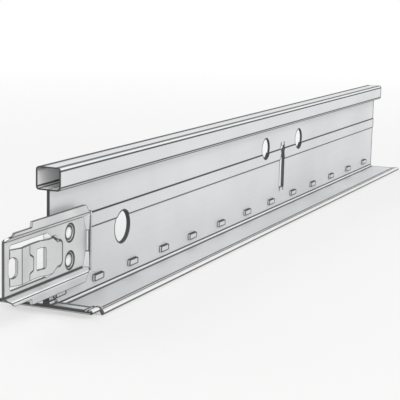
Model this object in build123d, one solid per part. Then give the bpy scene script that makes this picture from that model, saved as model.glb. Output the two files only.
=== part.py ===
"""Cross tee of a suspended ceiling grid, 24 mm face and 33 mm high.

A rolled steel tee with a hollow bulb, a stitched web and a flange, a capping
strip hemmed round the flange, and a formed end clip clinched to the web.
Millimetres, +X along the tee from the clip end, +Z up, the face at z = 0.
"""
import os

from build123d import *

# Tee section
tee_length = 254.0
tee_height = 33.0
face_width = 24.0
sheet = 0.3
lap = 0.3
band_step = 0.2
band_top_z = 19.8
band_bottom_z = 16.3
bulb_width = 6.2
bulb_height = 5.3
bulb_radius = 0.8
seam_width = 0.15
seam_depth = 1.0
foot_radius = 0.7

# Capping strip
cap_sheet = 0.35
hem_width = 2.35
hem_edge_width = 1.0
hem_edge_drop = 0.12

# Raised end of the flange, which laps over the tee that carries it
flange_overhang = 1.0
end_rise = 1.25
raised_length = 4.1
ramp_length = 1.05

# Stitches in a row along the foot of the web, the first few set closer
stitch_pitch = 20.65
near_stitch_pitch = 18.3
near_stitch_steps = 4
first_stitch = 4.5
stitch_length = 4.85
stitch_height = 1.6
stitch_proud = 0.6
stitch_z = 3.7
stitch_corner = 0.35

# Hanger holes
near_hole_diameter = 7.9
near_hole_x = 35.5
near_hole_z = 13.65
pair_hole_diameter = 6.3
pair_spacing = 30.7
pair_z = 21.4

# Slot that takes the end clips of two crossing tees
slot_x = 149.2
slot_width = 3.8
slot_waist_width = 2.0
slot_top_width = 3.3
slot_bottom_z = 7.1
slot_top_z = 20.8
slot_waist_z = 18.4
slot_shoulder_z = 16.3
slot_head_z = 19.8
slit_width = 0.5
slit_length = 1.1

# End clip, seen from its side
clip_sheet = 0.6
clip_overhang = 19.55
clip_end_x = 16.6
clip_mid_z = 13.8
panel_half = 6.1
lip_out = 1.6
lip_rise = 1.0
lip_short_half = 7.85
lip_tall_half = 9.1
lead_half = 6.9
lip_start_x = -18.9
lip_ramp = 1.1
lip_step_x = -11.0
lip_end_x = 12.6
lip_slant = 1.6
bend_radius = 0.35
panel_corner = 0.6
lip_corner = 0.8
step_corner = 0.35

# Window in the clip, and the tongue that bridges it
window_left_x = -17.5
window_right_x = -1.9
window_half = 4.9
window_corner = 0.8
tongue_half = 4.0
tongue_root_slope = 3.2
tongue_crest = 1.15
tongue_dip = 0.72
tongue_dip_x = -9.5
tongue_flat_end_x = -6.2
tongue_high = 1.5
tongue_high_x = -4.0
tongue_bend_radius = 0.5
shear_gap = 0.15
shear_x = -10.75
shear_nose = 1.75
shear_foot_top = 1.85
shear_nose_top = 0.95
shear_nose_bottom = -2.0
shear_foot_bottom = -2.4
shear_corner = 0.4
slot_in_tongue_x = -6.2
slot_in_tongue_width = 3.15
slot_in_tongue_height = 4.75
slot_in_tongue_corner = 0.6
root_slot_width = 2.45
root_slot_height = 4.5
root_slot_inset = 0.8

# Pressed form in the panel that the tongue ends in
form_shoulder_x = 0.0
form_shoulder_half = 2.85
form_end_x = 2.3
form_nose_half = 3.15
form_nose_corner = 1.5
form_draft = 24.0
form_edge_radius = 0.2
form_overlap = 0.15

# Eyelets drawn from the clip through the web and flared behind it
eyelet_x = 8.0
eyelet_half_spacing = 3.2
eyelet_dish_diameter = 4.2
eyelet_dish_depth = 0.35
eyelet_land = 0.2
eyelet_bore = 2.5
eyelet_wall = 0.3
eyelet_fit = 0.05
eyelet_flare = 0.8
eyelet_flare_sheet = 0.35

# Turned-out end of the clip
rim_height = 0.9
rim_half = 7.0
gusset_length = 2.5
gusset_inner_length = 1.0
gusset_height = 4.5

# Reach of a cut past what it cuts, and how near a point counts as on a line
past_face = 1.0
nearness = 0.001

# The origin is under the middle of the whole length
near_x = (clip_overhang - tee_length) / 2
web_front_y = -sheet
lap_back_y = sheet + lap
base_top_z = cap_sheet + sheet
web_bottom = max(end_rise, foot_radius) + cap_sheet + sheet / 2
clip_back_y = web_front_y - band_step
clip_mid_y = clip_back_y - clip_sheet / 2
clip_front_y = clip_back_y - clip_sheet
form_front_y = clip_front_y - tongue_high


def rect_between(low, high):
    """Rectangle between two corners of a sketch."""
    width = high[0] - low[0]
    height = high[1] - low[1]
    return Pos((low[0] + high[0]) / 2, (low[1] + high[1]) / 2) * Rectangle(width, height)


def along_tee(section, start, end):
    """Prism of a section drawn in Y and Z, from one place on the tee to another."""
    return extrude(Plane.YZ.offset(near_x + start) * section, end - start)


def through_web(outline, front, back):
    """Prism of an outline drawn in X and Z, from a front Y to a back Y."""
    placed = Plane.XZ.offset(-back) * Pos(near_x, 0) * outline
    return extrude(placed, back - front)


def round_corners(shape, radius, chosen):
    """Fillet of the corners of a sketch that a test picks out."""
    return fillet(shape.vertices().filter_by(chosen), radius)


def bent_strip(points, radius, thickness):
    """Face of one thickness along a middle line, with concentric bends."""
    line = [Vector(*point) for point in points]
    runs = [(after - before).normalized() for before, after in zip(line, line[1:])]
    left = []
    right = []
    for point, before, after in zip(line, runs[:1] + runs, runs + runs[-1:]):
        middle = (before + after).normalized()
        reach = Vector(-middle.Y, middle.X) * (thickness / 2 / before.dot(middle))
        turn = before.cross(after).Z
        inner = radius if abs(turn) > nearness else 0
        outer = radius + thickness if inner else 0
        left.append((point + reach, inner if turn > 0 else outer))
        right.append((point - reach, outer if turn > 0 else inner))
    outline = left + right[::-1]
    corners = [corner for corner, bend in outline]
    return make_face(FilletPolyline(*corners, radius=[bend for corner, bend in outline], close=True))


def flange_path():
    """Side view of the face: raised at the near end, then flat to the far end."""
    start_x = near_x - flange_overhang
    points = [
        (start_x, end_rise),
        (start_x + raised_length, end_rise),
        (start_x + raised_length + ramp_length, 0),
        (near_x + tee_length, 0),
    ]
    return Plane.XZ * Polyline(*points)


def along_flange(section):
    """Sweep of a section drawn in Y and Z over the stepped line of the flange."""
    start = Plane.YZ.offset(near_x - flange_overhang) * Pos(0, end_rise) * section
    return sweep(start, path=flange_path(), transition=Transition.RIGHT)


def web_and_bulb():
    bulb = RectangleRounded(bulb_width, bulb_height, bulb_radius)
    bulb -= RectangleRounded(bulb_width - 2 * sheet, bulb_height - 2 * sheet, bulb_radius - sheet)
    section = Pos(0, tee_height - bulb_height / 2) * bulb
    bulb_floor = tee_height - bulb_height + sheet / 2
    section += rect_between((web_front_y, web_bottom), (sheet, bulb_floor))
    section += rect_between((0, web_bottom), (lap_back_y, band_top_z))
    section += rect_between((web_front_y - band_step, band_bottom_z), (0, band_top_z))
    section -= Pos(0, bulb_floor) * Rectangle(seam_width, 2 * seam_depth)
    return along_tee(section, 0, tee_length)


def flange_with_foot():
    base = rect_between((-face_width / 2 + cap_sheet, cap_sheet), (face_width / 2 - cap_sheet, base_top_z))
    stub = rect_between((web_front_y, base_top_z - sheet / 2), (lap_back_y, web_bottom + sheet / 2))
    section = base + stub
    feet = section.vertices().filter_by(
        lambda v: abs(v.Y - base_top_z) < nearness and abs(v.X) < face_width / 4
    )
    section = fillet(feet, foot_radius)
    return along_flange(section)


def stitch_places():
    """Middles of the stitches: a few at the near pitch, then the wider pitch."""
    places = [first_stitch + step * near_stitch_pitch for step in range(near_stitch_steps + 1)]
    while places[-1] + stitch_pitch < tee_length - stitch_length:
        places.append(places[-1] + stitch_pitch)
    return places


def stitches():
    """Pressed stitches: proud on the front, with a pocket behind each."""
    face = RectangleRounded(stitch_length, stitch_height, stitch_corner)
    inner = offset(face, -sheet)
    proud = Sketch() + [Pos(middle, stitch_z) * face for middle in stitch_places()]
    pockets = Sketch() + [Pos(middle, stitch_z) * inner for middle in stitch_places()]
    front = web_front_y - stitch_proud
    return through_web(proud, front, 0), through_web(pockets, front + sheet, lap_back_y)


def slot_outline():
    """Slot with a waist, and a short slit at each corner."""
    half = slot_width / 2
    waist = slot_waist_width / 2
    head = slot_top_width / 2
    right = [
        (half, slot_bottom_z),
        (half, slot_shoulder_z),
        (waist, slot_waist_z),
        (head, slot_head_z),
        (head, slot_top_z),
    ]
    left = [(-x, z) for x, z in reversed(right)]
    outline = make_face(Polyline(*right, *left, close=True))
    for side in (-1, 1):
        low_x = side * (half - slit_width / 2)
        high_x = side * (head - slit_width / 2)
        outline += Pos(low_x, slot_bottom_z) * Rectangle(slit_width, 2 * slit_length)
        outline += Pos(high_x, slot_top_z) * Rectangle(slit_width, 2 * slit_length)
    return Pos(slot_x, 0) * outline


def eyelet_places():
    return [(eyelet_x, clip_mid_z + side * eyelet_half_spacing) for side in (-1, 1)]


def tee_body():
    body = web_and_bulb() + flange_with_foot()
    proud, pockets = stitches()
    body = body + proud - pockets
    holes = Pos(near_hole_x, near_hole_z) * Circle(near_hole_diameter / 2)
    for side in (-1, 1):
        holes += Pos(slot_x + side * pair_spacing / 2, pair_z) * Circle(pair_hole_diameter / 2)
    holes += slot_outline()
    collar = eyelet_bore / 2 + eyelet_wall + eyelet_fit
    for x, z in eyelet_places():
        holes += Pos(x, z) * Circle(collar)
    return body - through_web(holes, -bulb_width, bulb_width)


def face_cap():
    top_z = base_top_z + cap_sheet
    half = face_width / 2
    section = Pos(0, top_z / 2) * RectangleRounded(face_width, top_z, top_z / 2 - nearness)
    section -= rect_between((-half + cap_sheet, cap_sheet), (half - cap_sheet, base_top_z))
    open_half = half - hem_width
    section -= rect_between((-open_half, base_top_z), (open_half, 2 * top_z))
    edge_half = open_half + hem_edge_width
    section -= rect_between((-edge_half, top_z - hem_edge_drop), (edge_half, 2 * top_z))
    return along_flange(section)


def clip_outline():
    """Side view of the clip: panel, short and tall lips, and a slanted far end."""
    upper = [
        (-clip_overhang, 0),
        (-clip_overhang, lead_half),
        (lip_start_x, lead_half),
        (lip_start_x + lip_ramp, lip_short_half),
        (lip_step_x, lip_short_half),
        (lip_step_x, lip_tall_half),
        (lip_end_x, lip_tall_half),
        (lip_end_x + lip_slant, panel_half + lip_rise),
        (clip_end_x, panel_half),
        (clip_end_x, 0),
    ]
    half = make_face(Polyline(*upper, close=True))
    half = round_corners(half, panel_corner, lambda v: v.X < lip_start_x - nearness and v.Y > 0)
    half = round_corners(
        half, step_corner, lambda v: v.X < lip_step_x + nearness and v.Y > lead_half + nearness
    )
    half = round_corners(half, lip_corner, lambda v: abs(v.X - lip_end_x) < nearness)
    whole = half + mirror(half, Plane.XZ)
    return Pos(0, clip_mid_z) * whole


def clip_pan():
    """Panel with its two lips standing out from it on slanted walls."""
    out_y = clip_mid_y - lip_out
    upper = [
        (out_y, lip_tall_half + lip_rise),
        (out_y, panel_half + lip_rise),
        (clip_mid_y, panel_half),
    ]
    points = upper + [(y, -z) for y, z in reversed(upper)]
    section = Pos(0, clip_mid_z) * bent_strip(points, bend_radius, clip_sheet)
    return along_tee(section, -clip_overhang, clip_end_x)


def clip_rim():
    """End of the panel turned out, with a gusset in each corner."""
    end_x = near_x + clip_end_x - clip_sheet / 2
    corner = [
        (end_x - gusset_length, clip_mid_y),
        (end_x, clip_mid_y),
        (end_x, clip_front_y - rim_height),
    ]
    profile = bent_strip(corner, bend_radius, clip_sheet)
    rim = Pos(0, 0, clip_mid_z - rim_half) * extrude(profile, 2 * rim_half)
    for side in (-1, 1):
        edge = gusset_wedge(gusset_length, clip_mid_z + side * rim_half)
        inner = gusset_wedge(gusset_inner_length, clip_mid_z + side * (rim_half - gusset_height))
        rim += loft([edge, inner])
    return rim


def gusset_wedge(length, z):
    """Triangle between the panel and the turned-out end, seen from above."""
    wall_x = near_x + clip_end_x - clip_sheet / 2
    inside_y = clip_front_y + clip_sheet / 2
    wedge = make_face(Polyline(
        (wall_x - length, clip_front_y),
        (wall_x, clip_front_y - rim_height),
        (wall_x, inside_y),
        (wall_x - length, inside_y),
        close=True,
    ))
    return Pos(0, 0, z) * wedge


def tongue():
    """Bent tongue from its root at the left of the window to the pressed form."""
    line = [
        (window_left_x - past_face, 0),
        (window_left_x, 0),
        (window_left_x + tongue_root_slope, tongue_crest),
        (tongue_dip_x, tongue_dip),
        (tongue_flat_end_x, tongue_dip),
        (tongue_high_x, tongue_high),
        (window_right_x + form_overlap, tongue_high),
    ]
    points = [(near_x + x, clip_mid_y - out) for x, out in line]
    profile = bent_strip(points, tongue_bend_radius, clip_sheet)
    return Pos(0, 0, clip_mid_z - tongue_half) * extrude(profile, 2 * tongue_half)


def form_shapes(inset):
    """The two outlines of the pressed form: a tapered shoulder and a round nose."""
    start = window_right_x
    shoulder_half = form_shoulder_half - inset
    shoulder = make_face(Polyline(
        (start, -tongue_half + inset),
        (form_shoulder_x + inset, -shoulder_half),
        (form_shoulder_x + inset, shoulder_half),
        (start, tongue_half - inset),
        close=True,
    ))
    nose = rect_between((start, inset - form_nose_half), (form_end_x - inset, form_nose_half - inset))
    corner = form_nose_corner - inset
    nose = round_corners(nose, corner, lambda v: v.X > start + nearness)
    nose_start = form_shoulder_x - form_nose_corner
    nose -= rect_between((start - past_face, -tee_height), (nose_start, tee_height))
    return shoulder, nose


def drawn_form(inset, front, back, edge_radius):
    """Both outlines drawn from the front Y to the back Y, wider towards the back."""
    solids = []
    tongue_end_x = near_x + window_right_x + form_overlap
    for shape in form_shapes(inset):
        placed = Plane.XZ.offset(-front) * Pos(near_x, clip_mid_z) * shape
        solid = extrude(placed, front - back, taper=-form_draft)
        front_edges = solid.edges().filter_by(lambda e: abs((e @ 0.5).Y - front) < nearness)
        rim = front_edges.filter_by(lambda e: (e @ 0.5).X > tongue_end_x)
        solids.append(fillet(rim, edge_radius))
    return solids[0] + solids[1]


def pressed_form():
    """Hollow form pressed out of the panel beyond the window, and its pocket."""
    form = drawn_form(0, form_front_y, clip_back_y, form_edge_radius)
    pocket = drawn_form(clip_sheet / 2, form_front_y + clip_sheet, 0, form_edge_radius / 2)
    return form, pocket


def tongue_cuts():
    """Shear line with its nose, the slot in the tongue and the slot over its root."""
    z = clip_mid_z
    past = tongue_half + clip_sheet
    line = [
        (shear_x, z + past),
        (shear_x, z + shear_foot_top),
        (shear_x + shear_nose, z + shear_nose_top),
        (shear_x + shear_nose, z + shear_nose_bottom),
        (shear_x, z + shear_foot_bottom),
        (shear_x, z - past),
    ]
    cuts = bent_strip(line, shear_corner, shear_gap)
    slot = RectangleRounded(slot_in_tongue_width, slot_in_tongue_height, slot_in_tongue_corner)
    cuts += Pos(slot_in_tongue_x, z) * slot
    root_slot = SlotOverall(root_slot_height, root_slot_width, 90)
    cuts += Pos(window_left_x + root_slot_inset, z) * root_slot
    return cuts


def window_outline():
    low = (window_left_x, clip_mid_z - window_half)
    high = (window_right_x, clip_mid_z + window_half)
    return round_corners(rect_between(low, high), window_corner, lambda v: True)


def eyelet(x, z):
    """Dished eyelet: a collar through the web, flared against its back."""
    bore = eyelet_bore / 2
    outer = bore + eyelet_wall
    back = lap_back_y + eyelet_flare_sheet
    section = make_face(Polyline(
        (bore, clip_front_y + eyelet_dish_depth),
        (outer + eyelet_land, clip_front_y + eyelet_dish_depth),
        (outer + eyelet_land, clip_back_y),
        (outer, clip_back_y),
        (outer, lap_back_y),
        (outer + eyelet_flare, lap_back_y),
        (outer + eyelet_flare, lap_back_y + eyelet_flare_sheet / 2),
        (outer, back),
        (bore, back),
        close=True,
    ))
    return Pos(near_x + x, 0, z) * revolve(section, Axis.Y)


def end_clip():
    clip = clip_pan() & through_web(clip_outline(), -tee_height, tee_height)
    clip -= through_web(window_outline(), -tee_height, tee_height)
    form, pocket = pressed_form()
    clip = clip + form + tongue() - pocket
    clip -= through_web(tongue_cuts(), -tee_height, tee_height)
    clip += clip_rim()
    bore = eyelet_bore / 2 + eyelet_wall
    for x, z in eyelet_places():
        place = Pos(near_x + x, clip_front_y, z) * Rot(90, 0, 0)
        clip -= place * Cylinder(bore, 4 * clip_sheet)
        dish = Cone(bore + eyelet_land, eyelet_dish_diameter / 2, eyelet_dish_depth)
        clip -= place * Pos(0, 0, -eyelet_dish_depth / 2) * dish
        clip += eyelet(x, z)
    return clip


def main():
    os.makedirs("parts", exist_ok=True)
    parts = {
        "tee_body": tee_body(),
        "face_cap": face_cap(),
        "end_clip": end_clip(),
    }
    for name, shape in parts.items():
        export_step(shape, f"parts/{name}.step")
        box = shape.bounding_box()
        print(name, len(shape.solids()), "solid", round(shape.volume, 1), "mm3", box)


main()
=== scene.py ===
from math import radians

import bpy
from mathutils import Matrix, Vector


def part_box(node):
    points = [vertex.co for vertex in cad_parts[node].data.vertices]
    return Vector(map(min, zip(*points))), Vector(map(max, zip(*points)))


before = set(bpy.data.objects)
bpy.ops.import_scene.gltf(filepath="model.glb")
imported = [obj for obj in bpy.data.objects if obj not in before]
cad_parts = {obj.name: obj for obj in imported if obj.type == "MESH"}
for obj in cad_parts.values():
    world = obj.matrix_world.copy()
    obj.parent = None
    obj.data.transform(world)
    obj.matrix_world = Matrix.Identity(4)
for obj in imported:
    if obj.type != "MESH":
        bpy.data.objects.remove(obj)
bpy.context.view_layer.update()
print("frame loaded:", sorted(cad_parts))

scene = bpy.context.scene
scene.view_settings.view_transform = "Standard"


# Node trees: each function adds its nodes to the tree that it is given

def newMaterial(name):
    material = bpy.data.materials.new(name)
    material.use_nodes = True
    tree = material.node_tree
    tree.nodes.clear()
    shader = tree.nodes.new("ShaderNodeBsdfPrincipled")
    output = tree.nodes.new("ShaderNodeOutputMaterial")
    tree.links.new(shader.outputs["BSDF"], output.inputs["Surface"])
    return material, tree, shader


def plug(tree, value, socket):
    # A worked out value is linked, and a fixed one is set on the socket
    if isinstance(value, bpy.types.NodeSocket):
        tree.links.new(value, socket)
    else:
        socket.default_value = value


def objectPattern(tree, stretch=(1.0, 1.0, 1.0)):
    # Object coordinates, where a scale under 1 draws a pattern out along that axis
    place = tree.nodes.new("ShaderNodeTexCoord")
    mapping = tree.nodes.new("ShaderNodeMapping")
    mapping.inputs["Scale"].default_value = stretch
    tree.links.new(place.outputs["Object"], mapping.inputs["Vector"])
    return mapping.outputs["Vector"]


def noise(tree, vector, scale, detail):
    texture = tree.nodes.new("ShaderNodeTexNoise")
    texture.inputs["Scale"].default_value = scale
    texture.inputs["Detail"].default_value = detail
    tree.links.new(vector, texture.inputs["Vector"])
    return texture.outputs["Fac"]


def remap(tree, value, fromRange, toRange=(0.0, 1.0)):
    node = tree.nodes.new("ShaderNodeMapRange")
    node.inputs["From Min"].default_value, node.inputs["From Max"].default_value = fromRange
    node.inputs["To Min"].default_value, node.inputs["To Max"].default_value = toRange
    tree.links.new(value, node.inputs["Value"])
    return node.outputs["Result"]


def mixColours(tree, factor, first, second):
    node = tree.nodes.new("ShaderNodeMix")
    node.data_type = "RGBA"
    tree.links.new(factor, node.inputs["Factor"])
    plug(tree, first, node.inputs["A"])
    plug(tree, second, node.inputs["B"])
    return node.outputs["Result"]


def combine(tree, operation, first, *others):
    # One operation over two or more values, in turn
    for other in others:
        node = tree.nodes.new("ShaderNodeMath")
        node.operation = operation
        plug(tree, first, node.inputs[0])
        plug(tree, other, node.inputs[1])
        first = node.outputs["Value"]
    return first


def withoutSign(tree, value):
    node = tree.nodes.new("ShaderNodeMath")
    node.operation = "ABSOLUTE"
    tree.links.new(value, node.inputs[0])
    return node.outputs["Value"]


def awayFrom(tree, value, middle):
    # Distance from a middle, the same on both sides of it
    return withoutSign(tree, combine(tree, "SUBTRACT", value, middle))


def straightDistance(tree, across, up):
    reach = tree.nodes.new("ShaderNodeCombineXYZ")
    plug(tree, across, reach.inputs["X"])
    plug(tree, up, reach.inputs["Y"])
    length = tree.nodes.new("ShaderNodeVectorMath")
    length.operation = "LENGTH"
    tree.links.new(reach.outputs["Vector"], length.inputs[0])
    return length.outputs["Value"]


def ringDistance(tree, across, up, middle):
    # Distance from the middle of a round hole
    return straightDistance(tree, *(combine(tree, "SUBTRACT", value, place)
                                    for value, place in zip((across, up), middle)))


def outlineDistance(tree, across, up, half, corner):
    # Distance from the outline of a rounded rectangle, less than 0 inside it
    past = (combine(tree, "MAXIMUM", combine(tree, "SUBTRACT", value, size - corner), 0.0)
            for value, size in zip((across, up), half))
    return combine(tree, "SUBTRACT", straightDistance(tree, *past), corner)


def partsOf(tree, vector):
    split = tree.nodes.new("ShaderNodeSeparateXYZ")
    tree.links.new(vector, split.inputs["Vector"])
    return split.outputs


def flatNormal(tree):
    return tree.nodes.new("ShaderNodeNewGeometry").outputs["Normal"]


def facing(tree, axis, fromRange, toRange=(0.0, 1.0)):
    # By how squarely a face looks along one axis, either way
    return remap(tree, withoutSign(tree, partsOf(tree, flatNormal(tree))[axis]), fromRange, toRange)


# Masks that all three finishes use, with their sizes in metres

masking = {
    "wideFade": 0.0001,
    "fade": 0.00005,
    "fineFade": 0.00002,
    "noiseSpread": (0.3, 0.7),  # where most of a noise lies
    "edgeRadius": 0.00012,
    "edgeSamples": 8,
    "edgeTurn": (0.965, 0.9992),  # cosine of the turn from flat to rounded normal, at an edge and off it
}

beyond = 1.0  # a limit past every place on the tee


def between(tree, value, low, high, soft):
    # 1 between two places, 0 beyond them
    rise = remap(tree, value, (low - soft, low))
    fall = remap(tree, value, (high, high + soft), (1.0, 0.0))
    return combine(tree, "MULTIPLY", rise, fall)


def foldLine(tree, value, place, width, strength, *limits):
    # A line where value passes a place, kept inside the limits
    within = [between(tree, limited, low, high, width) for limited, low, high in limits]
    line = between(tree, value, place - width / 2, place + width / 2, width / 2)
    return combine(tree, "MULTIPLY", line, *within, strength)


def lessened(tree, mask, where, share):
    # The mask keeps only a share of itself in one place
    return combine(tree, "MULTIPLY", mask, remap(tree, where, (0.0, 1.0), (1.0, share)))


def roundedNormal(tree, radius):
    node = tree.nodes.new("ShaderNodeBevel")
    node.samples = masking["edgeSamples"]
    node.inputs["Radius"].default_value = radius
    return node.outputs["Normal"]


def nearEdges(tree, radius, strength):
    # Grows towards strength close to any fold or edge, where the rounded normal turns away; it masks
    # painted shade along edges
    compare = tree.nodes.new("ShaderNodeVectorMath")
    compare.operation = "DOT_PRODUCT"
    tree.links.new(roundedNormal(tree, radius), compare.inputs[0])
    tree.links.new(flatNormal(tree), compare.inputs[1])
    return remap(tree, compare.outputs["Value"], masking["edgeTurn"], (strength, 0.0))


def layLines(tree, shader, colour, pattern, lines, look):
    # Dark lines of painted shade cover the colour, and are duller than the sheet, whose gloss follows a
    # pattern
    covered = mixColours(tree, lines, colour, look["paintedShadeColour"])
    tree.links.new(covered, shader.inputs["Base Color"])
    sheet = remap(tree, pattern, masking["noiseSpread"], look["roughness"])
    dull = combine(tree, "MULTIPLY", lines, look["lineRoughness"])
    tree.links.new(combine(tree, "MAXIMUM", sheet, dull), shader.inputs["Roughness"])


def bareMetal(tree, shader, covered, look):
    # Metal shows where no painted shade or painted light covers it
    metal = remap(tree, covered, (0.0, 1.0), (look["metallic"], 0.0))
    tree.links.new(metal, shader.inputs["Metallic"])


def bump(tree, shader, height, distance):
    # Fine relief, on edges that catch the light as if slightly rounded
    node = tree.nodes.new("ShaderNodeBump")
    node.inputs["Distance"].default_value = distance
    tree.links.new(height, node.inputs["Height"])
    tree.links.new(roundedNormal(tree, masking["edgeRadius"]), node.inputs["Normal"])
    tree.links.new(node.outputs["Normal"], shader.inputs["Normal"])


# Places on the tee, along it from the near end of its web and up from its face

raisedEnd = {
    "pastWeb": 0.001,  # how far the flange starts before the web
    "rise": 0.00125,
    "ramp": (0.0031, 0.00415),
    "crest": 0.002725,
    "crestWidth": 0.0007,
    "flangeTop": 0.00065,
}

teeLow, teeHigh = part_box("tee_body")
webEnd = teeLow.x + raisedEnd["pastWeb"]
webLength = teeHigh.x - webEnd


def teePlaces(tree, pattern):
    # The height above the face is less over the raised end, where the face is higher
    place = partsOf(tree, pattern)
    at = {"depth": place["Y"], "height": place["Z"]}
    at["along"] = combine(tree, "SUBTRACT", place["X"], webEnd)
    at["fromWeb"] = withoutSign(tree, at["depth"])
    at["belowTop"] = combine(tree, "SUBTRACT", teeHigh.z, at["height"])
    lift = remap(tree, at["along"], raisedEnd["ramp"], (raisedEnd["rise"], 0.0))
    at["aboveFace"] = combine(tree, "SUBTRACT", at["height"], lift)
    return at


# Zinc coated strip of the rolled tee, with painted shade as dark lines along its folds and edges

zincStrip = {
    "light": (0.74, 0.75, 0.76, 1.0),
    "dark": (0.66, 0.67, 0.68, 1.0),
    "cutEdge": (0.17, 0.172, 0.175, 1.0),
    "paintedShadeColour": (0.045, 0.046, 0.048, 1.0),
    "lineRoughness": 0.95,
    "metallic": 0.5,
    "roughness": (0.42, 0.56),
    "clouds": {"scale": 28.0, "detail": 3.0},
    "rolling": {"scale": 1400.0, "detail": 2.0},
    "rollingStretch": (0.02, 1.0, 1.0),
    "rollingDepth": 0.000012,
    "paintedShadeReach": 0.0003,
    "paintedShadeStrength": 0.95,
    "lineWidth": 0.00028,
    "lineStrength": 0.97,
    "topLineWidth": 0.0005,
    "topLineStrength": 0.9,
    "sheet": 0.0003,
    "nearCut": (0.000175, 0.000375),  # from the near end of the web
    "farCut": (0.000825, 0.000625),  # from its far end
    "cutFacing": (0.85, 0.95),
    "webHeights": (0.0025, 0.0276),
    "webDepth": (-0.0006, -0.0005),
    "wallFacing": (0.10, 0.25),
    "webReach": 0.0008,
    "bandHeights": (0.0163, 0.0198),
    "bandFront": (-0.0010, -0.0002),
    "footHeight": 0.00135,
    "footReach": 0.0007,
    "flangeFolds": (-0.0010, 0.0013),
    "hemInner": 0.00950,
    "bulb": {  # heights are counted down from its top
        "half": 0.0031,
        "height": 0.0053,
        "radius": 0.0008,
        "sideFrom": 0.0029,
        "floor": 0.00509,
        "lowWidth": 0.00025,
        "cornerWidth": 0.0006,
        "backEdge": 0.00205,
        "backWidth": 0.0012,
        "paintedLightInside": (0.95, 0.95, 0.95, 1.0),
        "insideWall": (0.0026, 0.00282),
        "insideFloor": (0.00495, 0.0051),
    },
    "holes": {
        "rimWidth": 0.0003,
        "near": (0.0355, 0.01365),
        "nearRim": 0.0041,
        "pair": (0.01535, 0.0214),
        "pairRim": 0.0033,
    },
    "slot": {
        "middle": 0.1492,
        "heights": (0.0071, 0.0208),
        "half": 0.0019,
        "waist": ((0.0163, 0.0184), (0.0, -0.0009)),
        "head": ((0.0184, 0.0198), (0.0, 0.00065)),
        "lineOffset": 0.0002,
        "lineWidth": 0.0003,
    },
    "stitch": {
        "depth": (-0.00085, -0.00035),
        "heights": (0.0028, 0.0046),
        "face": (-0.0010, -0.00088),
        "facing": (0.5, 0.8),
        "endShare": 0.15,
        "middle": 0.0037,
        "half": (0.002425, 0.0008),
        "corner": 0.00035,
        "lineWidth": 0.0002,
        "endSqueeze": 0.5,  # halves the length, so that the line is twice as wide at the ends
        "margin": 0.4,  # share of the pitch that a row reaches past its first and last
    },
    "stitchRows": (
        {"first": 0.0045, "pitch": 0.0183, "count": 5},
        {"first": 0.09835, "pitch": 0.02065, "count": 8},
    ),
}


def zincLine(tree, value, place, *limits, width=zincStrip["lineWidth"]):
    return foldLine(tree, value, place, width, zincStrip["lineStrength"], *limits)


def topLine(tree, value, place, *limits, width=zincStrip["topLineWidth"]):
    # Wider and paler, on what lies flat
    return foldLine(tree, value, place, width, zincStrip["topLineStrength"], *limits)


def shearedEnds(tree, at):
    near = remap(tree, at["along"], zincStrip["nearCut"], (1.0, 0.0))
    far = remap(tree, at["along"], tuple(webLength - inset for inset in zincStrip["farCut"]))
    return combine(tree, "MAXIMUM", near, far)


def shearedSteel(tree, at, ends):
    # The sheared ends, and the walls of the holes and the slot
    onWeb = between(tree, at["height"], *zincStrip["webHeights"], masking["wideFade"])
    inWeb = remap(tree, at["depth"], zincStrip["webDepth"])
    sideways = facing(tree, "Y", zincStrip["wallFacing"], (1.0, 0.0))
    walls = combine(tree, "MULTIPLY", onWeb, inWeb, sideways)
    endOn = facing(tree, "X", zincStrip["cutFacing"])
    return combine(tree, "MAXIMUM", walls, combine(tree, "MULTIPLY", endOn, ends))


def insideOfBulb(tree, at):
    bulb, sheet = zincStrip["bulb"], zincStrip["sheet"]
    return combine(tree, "MULTIPLY",
                   between(tree, at["fromWeb"], 0.0, bulb["half"] - sheet, masking["fineFade"]),
                   between(tree, at["belowTop"], sheet, bulb["height"] - sheet, masking["fineFade"]))


def paintedEdgeShade(tree, at):
    # Painted shade near every edge, kept light on the ends of the stitches between their edges, and painted
    # shade on their tops
    stitch = zincStrip["stitch"]
    edges = nearEdges(tree, zincStrip["paintedShadeReach"], zincStrip["paintedShadeStrength"])
    onStitch = combine(tree, "MULTIPLY",
                       between(tree, at["depth"], *stitch["depth"], masking["fade"]),
                       between(tree, at["height"], *stitch["heights"], masking["fade"]))
    onEnds = combine(tree, "MULTIPLY", onStitch, facing(tree, "X", stitch["facing"]))
    upwards = facing(tree, "Z", stitch["facing"], (0.0, zincStrip["lineStrength"]))
    return [lessened(tree, edges, onEnds, stitch["endShare"]),
            combine(tree, "MULTIPLY", onStitch, upwards)]


def webLines(tree, at):
    # Painted shade lines along the band pressed in the front, and where the web meets the flange
    front = (at["depth"], *zincStrip["bandFront"])
    foot = (at["fromWeb"], 0.0, zincStrip["footReach"])
    lines = [zincLine(tree, at["height"], fold, front) for fold in zincStrip["bandHeights"]]
    lines.append(zincLine(tree, at["aboveFace"], zincStrip["footHeight"], foot))
    return lines


def flangeLines(tree, at):
    # Painted shade lines on top of the flange: its foot bends, the edge of the hem and the crest of the
    # raised end
    top = raisedEnd["flangeTop"]
    flange = (at["aboveFace"], top - masking["wideFade"], top + masking["wideFade"])
    lines = [topLine(tree, at["depth"], fold, flange) for fold in zincStrip["flangeFolds"]]
    lines.append(topLine(tree, at["fromWeb"], zincStrip["hemInner"], flange))
    lines.append(topLine(tree, at["along"], raisedEnd["crest"], flange, width=raisedEnd["crestWidth"]))
    return lines


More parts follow.
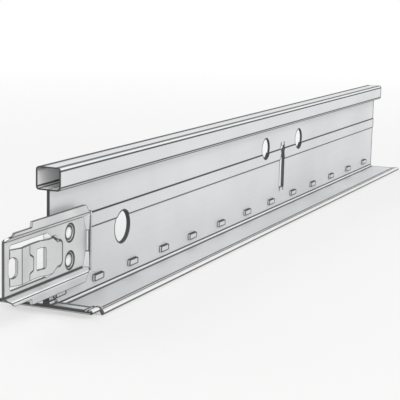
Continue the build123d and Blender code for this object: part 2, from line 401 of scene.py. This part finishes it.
def holeLines(tree, at):
    # Painted shade lines round the holes, and up both edges of the slot with its waist and its wider head
    holes, slot = zincStrip["holes"], zincStrip["slot"]
    onSheet = (at["fromWeb"], 0.0, zincStrip["webReach"])
    fromSlot = awayFrom(tree, at["along"], slot["middle"])
    nearRing = ringDistance(tree, at["along"], at["height"], holes["near"])
    pairRing = ringDistance(tree, fromSlot, at["height"], holes["pair"])
    lines = [zincLine(tree, ring, rim, onSheet, width=holes["rimWidth"])
             for ring, rim in ((nearRing, holes["nearRim"]), (pairRing, holes["pairRim"]))]
    shape = (remap(tree, at["height"], *slot["waist"]), remap(tree, at["height"], *slot["head"]))
    fromShape = combine(tree, "SUBTRACT", fromSlot, combine(tree, "ADD", *shape))
    lines.append(zincLine(tree, fromShape, slot["half"] + slot["lineOffset"],
                          (at["height"], *slot["heights"]), onSheet, width=slot["lineWidth"]))
    return lines


def bulbLines(tree, at):
    # Painted shade lines where its corners start on its sides, floor and top, outside and inside, and at
    # its back edge
    bulb = zincStrip["bulb"]
    corner = bulb["half"] - bulb["radius"]
    lowFold = bulb["height"] - bulb["radius"]
    top = (at["belowTop"], -beyond, zincStrip["sheet"])
    sides = (at["fromWeb"], bulb["sideFrom"], beyond)
    corners = (at["fromWeb"], corner, beyond)
    insideWall = (at["fromWeb"], *bulb["insideWall"])
    insideFloor = (at["belowTop"], *bulb["insideFloor"])
    return [
        zincLine(tree, at["belowTop"], bulb["radius"], sides),
        zincLine(tree, at["belowTop"], lowFold, sides, width=bulb["lowWidth"]),
        zincLine(tree, at["belowTop"], bulb["floor"], corners, width=bulb["lowWidth"]),
        zincLine(tree, at["belowTop"], lowFold, insideWall),
        zincLine(tree, at["fromWeb"], corner, insideFloor),
        topLine(tree, at["fromWeb"], corner, top, width=bulb["cornerWidth"]),
        zincLine(tree, at["depth"], bulb["backEdge"], top, width=bulb["backWidth"]),
    ]


def stitchLines(tree, at):
    # Painted shade lines just inside the outline of each stitch, wider at its ends because they are
    # squeezed
    stitch = zincStrip["stitch"]
    halfLength, halfHeight = stitch["half"]
    half = (halfLength * stitch["endSqueeze"], halfHeight)
    width = stitch["lineWidth"]
    up = awayFrom(tree, at["height"], stitch["middle"])
    front = (at["depth"], *stitch["face"])
    lines = []
    for row in zincStrip["stitchRows"]:
        first, pitch = row["first"], row["pitch"]
        margin = pitch * stitch["margin"]
        rowLimit = (at["along"], first - margin, first + (row["count"] - 1) * pitch + margin)
        pastFirst = combine(tree, "SUBTRACT", at["along"], first)
        fromStitch = combine(tree, "PINGPONG", pastFirst, pitch / 2)
        squeezed = combine(tree, "MULTIPLY", fromStitch, stitch["endSqueeze"])
        outline = outlineDistance(tree, squeezed, up, half, stitch["corner"])
        lines.append(zincLine(tree, outline, -width / 2, front, rowLimit, width=width))
    return lines


def zincMaterial():
    material, tree, shader = newMaterial("zincCoatedSteel")
    even = objectPattern(tree)
    clouds = noise(tree, even, **zincStrip["clouds"])
    rolling = noise(tree, objectPattern(tree, zincStrip["rollingStretch"]), **zincStrip["rolling"])
    at = teePlaces(tree, even)
    ends = shearedEnds(tree, at)
    inBulb = insideOfBulb(tree, at)

    # Cloudy zinc, dark where it was sheared, with painted light inside the bulb, which lies in shade
    cloudy = remap(tree, clouds, masking["noiseSpread"])
    colour = mixColours(tree, cloudy, zincStrip["light"], zincStrip["dark"])
    colour = mixColours(tree, shearedSteel(tree, at, ends), colour, zincStrip["cutEdge"])
    colour = mixColours(tree, inBulb, colour, zincStrip["bulb"]["paintedLightInside"])

    # Painted shade: dark lines at the folds, edges, sheared ends and stitch tops
    paintedShade = combine(tree, "MAXIMUM", *paintedEdgeShade(tree, at),
                  combine(tree, "MULTIPLY", ends, zincStrip["lineStrength"]),
                  *webLines(tree, at), *flangeLines(tree, at), *holeLines(tree, at),
                  *bulbLines(tree, at), *stitchLines(tree, at))
    layLines(tree, shader, colour, rolling, paintedShade, zincStrip)
    bareMetal(tree, shader, combine(tree, "MAXIMUM", paintedShade, inBulb), zincStrip)
    bump(tree, shader, rolling, zincStrip["rollingDepth"])
    return material


# White paint of the capping strip, bare where it was cut, with painted shade as dark lines along its folds
# and edges

paintedCap = {
    "paint": (0.84, 0.84, 0.83, 1.0),
    "scuff": (0.74, 0.74, 0.725, 1.0),
    "cutEdge": (0.36, 0.365, 0.37, 1.0),
    "paintedShadeColour": (0.035, 0.035, 0.034, 1.0),
    "lineRoughness": 0.95,
    "roughness": (0.36, 0.48),
    "coat": 0.12,
    "scuffs": {"scale": 160.0, "detail": 5.0},
    "scuffStretch": (0.25, 1.0, 1.0),
    "scuffSpread": (0.60, 0.72),
    "grain": {"scale": 2600.0, "detail": 1.0},
    "grainDepth": 0.000008,
    "cutFacing": (0.9, 0.97),
    "shearedEdge": (0.64, 0.64, 0.635, 1.0),
    "shearedReach": (0.00960, 0.01062),
    "shearedTop": 0.00094,
    "hemLines": (0.00980, 0.01078),
    "hemLineWidth": 0.00032,
    "hemLineStrength": 1.0,
    "hemTop": 0.0011,
    "capShadeReach": 0.00025,
    "capShadeStrength": 0.8,
    "edgeFrom": (0.01135, 0.01145),
    "edgeLineSlope": (0.45, 0.0),
    "edgeLineStrength": 0.95,
}


def shearedHem(tree, at):
    # The inner edge of the hem, set down from its top
    fade = masking["fineFade"]
    onHem = between(tree, at["aboveFace"], raisedEnd["flangeTop"], paintedCap["shearedTop"], fade)
    return combine(tree, "MULTIPLY", between(tree, at["fromWeb"], *paintedCap["shearedReach"], fade), onHem)


def capShadeLines(tree, at):
    # Painted shade along the hem's folds and the crest of the raised end, and low on the outer edge where
    # it turns under
    strength = paintedCap["edgeLineStrength"]
    slope = partsOf(tree, flatNormal(tree))["Z"]
    turnedUnder = remap(tree, slope, paintedCap["edgeLineSlope"], (0.0, strength))
    onEdge = remap(tree, at["fromWeb"], paintedCap["edgeFrom"])
    above = (at["aboveFace"], raisedEnd["flangeTop"], beyond)
    hem = (at["aboveFace"], raisedEnd["flangeTop"], paintedCap["hemTop"])
    hemWidth, hemStrength = paintedCap["hemLineWidth"], paintedCap["hemLineStrength"]
    lines = [foldLine(tree, at["fromWeb"], fold, hemWidth, hemStrength, hem)
             for fold in paintedCap["hemLines"]]
    lines.append(combine(tree, "MULTIPLY", turnedUnder, onEdge))
    lines.append(foldLine(tree, at["along"], raisedEnd["crest"], raisedEnd["crestWidth"], strength, above))
    return lines


def capMaterial():
    material, tree, shader = newMaterial("paintedCap")
    even = objectPattern(tree)
    scuffs = noise(tree, objectPattern(tree, paintedCap["scuffStretch"]), **paintedCap["scuffs"])
    grain = noise(tree, even, **paintedCap["grain"])
    at = teePlaces(tree, even)

    rubbed = remap(tree, scuffs, paintedCap["scuffSpread"])
    colour = mixColours(tree, rubbed, paintedCap["paint"], paintedCap["scuff"])
    colour = mixColours(tree, facing(tree, "X", paintedCap["cutFacing"]), colour, paintedCap["cutEdge"])
    colour = mixColours(tree, shearedHem(tree, at), colour, paintedCap["shearedEdge"])

    # Painted shade near every edge and along the folds
    edges = nearEdges(tree, paintedCap["capShadeReach"], paintedCap["capShadeStrength"])
    capPaintedShade = combine(tree, "MAXIMUM", edges, *capShadeLines(tree, at))
    layLines(tree, shader, colour, scuffs, capPaintedShade, paintedCap)
    shader.inputs["Coat Weight"].default_value = paintedCap["coat"]
    bump(tree, shader, grain, paintedCap["grainDepth"])
    return material


# Harder, darker steel of the end clip, along from its leading end and up from its middle

clipSteel = {
    "light": (0.70, 0.705, 0.71, 1.0),
    "dark": (0.60, 0.605, 0.61, 1.0),
    "cutEdge": (0.13, 0.132, 0.135, 1.0),
    "paintedLitWall": (0.92, 0.92, 0.92, 1.0),
    "paintedShadeColour": (0.045, 0.046, 0.048, 1.0),
    "lineRoughness": 0.95,
    "metallic": 0.6,
    "roughness": (0.34, 0.48),
    "smears": {"scale": 120.0, "detail": 4.0},
    "smearSpread": (0.35, 0.65),
    "brushing": {"scale": 2600.0, "detail": 2.0},
    "brushStretch": (0.03, 1.0, 1.0),
    "brushDepth": 0.00001,
    "paintedShadeReach": 0.0003,
    "paintedShadeStrength": 0.95,
    "lineStrength": 0.97,
    "front": -0.0009,
    "leadingEdge": 0.000675,
    "windowTo": 0.017775,
    "cutFacing": (0.05, 0.15),
    "slotFacing": (0.6, 0.8),
    "paintedLitShare": 0.3,
    "upperWall": (0.0061, 0.0068),
    "upperWallDepth": (-0.0026, -0.0012),
    "bends": {
        "wallFold": 0.0059,
        "upperWidth": 0.00014,
        "lowerWidth": 0.00035,
        "lipFold": 0.00705,
        "lipWidth": 0.00014,
        "foldEnd": 0.033275,
        "reach": (0.0056, 0.0076),
        "edgeShare": 0.15,
    },
    "tongue": {
        "folds": (0.00205, 0.00525),
        "half": 0.00385,
        "lineWidth": 0.00018,
    },
    "form": {
        "middle": 0.018775,
        "half": (0.003075, 0.00315),
        "corner": 0.0015,
        "lineWidth": 0.0004,
        "lineFrom": 0.0012,
        "front": -0.0022,
        "shoulder": (0.01765, 0.01955),
        "shoulderSlope": (0.518, 0.855),
        "shoulderPlace": 0.002436,
        "wallDepth": (-0.0025, -0.0012),
        "wallAlong": (0.017475, 0.019975),
        "wallUp": (0.0028, 0.0048),
    },
    "eyelet": {
        "place": (0.02755, 0.0032),
        "bore": (0.00130, 0.00138),
        "rings": (0.0021, 0.0015),
        "ringWidth": 0.0003,
        "front": -0.0006,
    },
}

clipLow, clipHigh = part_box("end_clip")
clipMiddle = (clipLow.z + clipHigh.z) / 2


def clipPlaces(tree, pattern):
    place = partsOf(tree, pattern)
    at = {"depth": place["Y"]}
    at["along"] = combine(tree, "SUBTRACT", place["X"], clipLow.x)
    at["up"] = combine(tree, "SUBTRACT", place["Z"], clipMiddle)
    at["fromMiddle"] = withoutSign(tree, at["up"])
    at["fromEyelet"] = ringDistance(tree, at["along"], at["fromMiddle"], clipSteel["eyelet"]["place"])
    at["front"] = (at["depth"], -beyond, clipSteel["front"])  # a limit that keeps a line to the front
    return at


def clipLine(tree, value, place, width, *limits):
    return foldLine(tree, value, place, width, clipSteel["lineStrength"], *limits)


def upperWall(tree, at):
    # Painted light on the slanted wall above the panel, which lies in shade
    return combine(tree, "MULTIPLY",
                   between(tree, at["up"], *clipSteel["upperWall"], masking["wideFade"]),
                   between(tree, at["depth"], *clipSteel["upperWallDepth"], masking["wideFade"]))


def clipEdges(tree, at, paintedLitWalls):
    # Painted edge shade, with less of it in the slots and the bores, and on the bends
    bends, leadingEdge = clipSteel["bends"], clipSteel["leadingEdge"]
    edges = nearEdges(tree, clipSteel["paintedShadeReach"], clipSteel["paintedShadeStrength"])
    edges = lessened(tree, edges, paintedLitWalls, clipSteel["paintedLitShare"])
    onBends = combine(tree, "MULTIPLY",
                      between(tree, at["fromMiddle"], *bends["reach"], masking["fade"]),
                      between(tree, at["along"], leadingEdge, bends["foldEnd"], masking["fade"]))
    return lessened(tree, edges, onBends, bends["edgeShare"])


def bendLines(tree, at):
    # Painted shade lines from panel to wall and from wall to lip, and across the tongue
    bends, tongue = clipSteel["bends"], clipSteel["tongue"]
    toFoldEnd = (at["along"], -beyond, bends["foldEnd"])
    onTongue = (at["fromMiddle"], 0.0, tongue["half"])
    lines = [clipLine(tree, at["up"], place, width, at["front"], toFoldEnd)
             for place, width in ((bends["wallFold"], bends["upperWidth"]),
                                  (-bends["wallFold"], bends["lowerWidth"]))]
    lines.append(clipLine(tree, at["fromMiddle"], bends["lipFold"], bends["lipWidth"], at["front"]))
    for fold in tongue["folds"]:
        lines.append(clipLine(tree, at["along"], fold, tongue["lineWidth"], onTongue, at["front"]))
    return lines


def formLines(tree, at):
    # Painted shade lines round the pressed form and along its two slanted shoulders, and painted shade all
    # over its steep wall
    form = clipSteel["form"]
    width = form["lineWidth"]
    pressed = (at["depth"], -beyond, form["front"])
    alongForm = combine(tree, "SUBTRACT", at["along"], form["middle"])
    outline = outlineDistance(tree, alongForm, at["fromMiddle"], form["half"], form["corner"])
    rounded = clipLine(tree, outline, -width / 2, width, pressed, (alongForm, form["lineFrom"], beyond))

    slopeAlong, slopeUp = form["shoulderSlope"]
    shoulderFrom, shoulderTo = form["shoulder"]
    pastShoulder = combine(tree, "SUBTRACT", at["along"], shoulderTo)
    slanted = combine(tree, "ADD",
                      combine(tree, "MULTIPLY", pastShoulder, slopeAlong),
                      combine(tree, "MULTIPLY", at["fromMiddle"], slopeUp))
    shoulder = clipLine(tree, slanted, form["shoulderPlace"] - width / 4, width / 2,
                        pressed, (at["along"], shoulderFrom, shoulderTo))

    wall = [between(tree, at[place], *form[reach], masking["wideFade"])
            for place, reach in (("depth", "wallDepth"), ("along", "wallAlong"), ("fromMiddle", "wallUp"))]
    return [rounded, shoulder, combine(tree, "MULTIPLY", *wall, clipSteel["lineStrength"])]


def eyeletLines(tree, at):
    # Painted shade rings round the eyelet's dish and bore
    eyelet = clipSteel["eyelet"]
    front = (at["depth"], -beyond, eyelet["front"])
    return [clipLine(tree, at["fromEyelet"], ring, eyelet["ringWidth"], front) for ring in eyelet["rings"]]


def clipMaterial():
    material, tree, shader = newMaterial("clipSteel")
    even = objectPattern(tree)
    smears = noise(tree, even, **clipSteel["smears"])
    brushing = noise(tree, objectPattern(tree, clipSteel["brushStretch"]), **clipSteel["brushing"])
    smeared = remap(tree, smears, clipSteel["smearSpread"])
    at = clipPlaces(tree, even)

    # Sheared edges, dark round the outside, kept paler in the slots as painted light, with painted light on
    # the walls of the bores
    leadingEdge, windowTo = clipSteel["leadingEdge"], clipSteel["windowTo"]
    inSlots = combine(tree, "MULTIPLY",
                      between(tree, at["along"], leadingEdge, windowTo, masking["fade"]),
                      facing(tree, "X", clipSteel["slotFacing"]))
    inBore = remap(tree, at["fromEyelet"], clipSteel["eyelet"]["bore"], (1.0, 0.0))
    paintedLitWalls = combine(tree, "MAXIMUM", inSlots, inBore)
    cut = facing(tree, "Y", clipSteel["cutFacing"], (1.0, 0.0))
    cut = lessened(tree, cut, paintedLitWalls, clipSteel["paintedLitShare"])
    colour = mixColours(tree, smeared, clipSteel["light"], clipSteel["dark"])
    colour = mixColours(tree, cut, colour, clipSteel["cutEdge"])
    # Painted light on the walls of the bores and on the slanted upper wall
    for wall in (inBore, upperWall(tree, at)):
        colour = mixColours(tree, wall, colour, clipSteel["paintedLitWall"])

    # Painted shade: dark lines at the folds and edges, and over the form's steep wall
    paintedShade = combine(tree, "MAXIMUM", clipEdges(tree, at, paintedLitWalls),
                  *bendLines(tree, at), *formLines(tree, at), *eyeletLines(tree, at))
    layLines(tree, shader, colour, brushing, paintedShade, clipSteel)
    bareMetal(tree, shader, combine(tree, "MAXIMUM", paintedShade, inBore), clipSteel)
    bump(tree, shader, brushing, clipSteel["brushDepth"])
    return material


def giveMaterial(node, material):
    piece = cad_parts[node]
    piece.data.materials.clear()
    piece.data.materials.append(material)


giveMaterial("tee_body", zincMaterial())
giveMaterial("face_cap", capMaterial())
giveMaterial("end_clip", clipMaterial())
print("finishes given to the three CAD pieces")


# Floor and sky, white where they are seen far from the tee

room = {
    "floorSize": 24.0,
    "floorGap": 0.00005,
    "floorColour": (0.90, 0.90, 0.895, 1.0),
    "floorRoughness": 0.9,
    "whiteness": (0.50, 1.0),
    "whiteReach": (0.15, 0.60),
    "skyColour": (1.0, 1.0, 1.0, 1.0),
    "skyStrength": 0.55,
    "seenSky": 1.0,
}


def seenRays(tree):
    # Rays from the camera, and those that reach it by a shine or through glass
    rays = tree.nodes.new("ShaderNodeLightPath")
    kinds = ("Is Camera Ray", "Is Glossy Ray", "Is Transmission Ray")
    return combine(tree, "MAXIMUM", *(rays.outputs[kind] for kind in kinds))


def floorMaterial():
    material, tree, shader = newMaterial("paleFloor")
    shader.inputs["Base Color"].default_value = room["floorColour"]
    shader.inputs["Roughness"].default_value = room["floorRoughness"]

    # It glows white where it is seen far from the tee, and keeps its shadow close to it
    distance = tree.nodes.new("ShaderNodeVectorMath")
    distance.operation = "LENGTH"
    tree.links.new(objectPattern(tree), distance.inputs[0])
    white = remap(tree, distance.outputs["Value"], room["whiteReach"], room["whiteness"])
    glow = tree.nodes.new("ShaderNodeEmission")
    mix = tree.nodes.new("ShaderNodeMixShader")
    tree.links.new(combine(tree, "MULTIPLY", white, seenRays(tree)), mix.inputs["Fac"])
    tree.links.new(shader.outputs["BSDF"], mix.inputs[1])
    tree.links.new(glow.outputs["Emission"], mix.inputs[2])
    output = next(node for node in tree.nodes if node.type == "OUTPUT_MATERIAL")
    tree.links.new(mix.outputs["Shader"], output.inputs["Surface"])
    return material


def addFloor():
    bpy.ops.object.select_all(action="DESELECT")
    bpy.ops.mesh.primitive_plane_add(size=room["floorSize"], location=(0, 0, -room["floorGap"]))
    floor = bpy.context.active_object
    floor.name = "paleFloor"
    floor.data.materials.append(floorMaterial())


def addWorld():
    world = bpy.data.worlds.new("softSky")
    scene.world = world
    world.use_nodes = True
    tree = world.node_tree
    tree.nodes.clear()
    sky = tree.nodes.new("ShaderNodeBackground")
    sky.inputs["Color"].default_value = room["skyColour"]
    brightness = (room["skyStrength"], room["seenSky"])
    tree.links.new(remap(tree, seenRays(tree), (0.0, 1.0), brightness), sky.inputs["Strength"])
    output = tree.nodes.new("ShaderNodeOutputWorld")
    tree.links.new(sky.outputs["Background"], output.inputs["Surface"])


# Soft square lamps, all turned towards the tee

lamps = {
    "keyLamp": {"place": (-0.55, -0.75, 0.75), "size": 0.55, "power": 4.2},
    "fillLamp": {"place": (0.75, -0.55, 0.45), "size": 0.60, "power": 1.4},
    "backLamp": {"place": (0.20, 0.80, 0.70), "size": 0.60, "power": 2.2},
    "endLamp": {"place": (-0.90, -0.30, 0.12), "size": 0.35, "power": 2.6},
}


def addLamps():
    for name, lamp in lamps.items():
        data = bpy.data.lights.new(name, "AREA")
        data.size = lamp["size"]
        data.energy = lamp["power"]
        item = bpy.data.objects.new(name, data)
        scene.collection.objects.link(item)
        item.location = lamp["place"]
        item.rotation_euler = item.location.to_track_quat("Z", "Y").to_euler()


addFloor()
addWorld()
addLamps()
print("floor, world and lamps in place")


# Camera at the drawing's angle

cameraView = {
    "place": (-0.35765, -0.14120, 0.07606),
    "turn": 23.54,
    "down": 10.15,
    "roll": 1.467,
    "lens": 115.15,
    "nearest": 0.01,
    "farthest": 60.0,
}


def addCamera():
    data = bpy.data.cameras.new("drawingView")
    data.lens = cameraView["lens"]
    data.clip_start = cameraView["nearest"]
    data.clip_end = cameraView["farthest"]
    camera = bpy.data.objects.new("drawingView", data)
    scene.collection.objects.link(camera)
    heading = Matrix.Rotation(radians(cameraView["turn"] - 90), 3, "Z")
    tilt = Matrix.Rotation(radians(90 - cameraView["down"]), 3, "X")
    roll = Matrix.Rotation(radians(cameraView["roll"]), 3, "Z")
    camera.location = cameraView["place"]
    camera.rotation_euler = (heading @ tilt @ roll).to_euler()
    scene.camera = camera


addCamera()
print("camera in place")
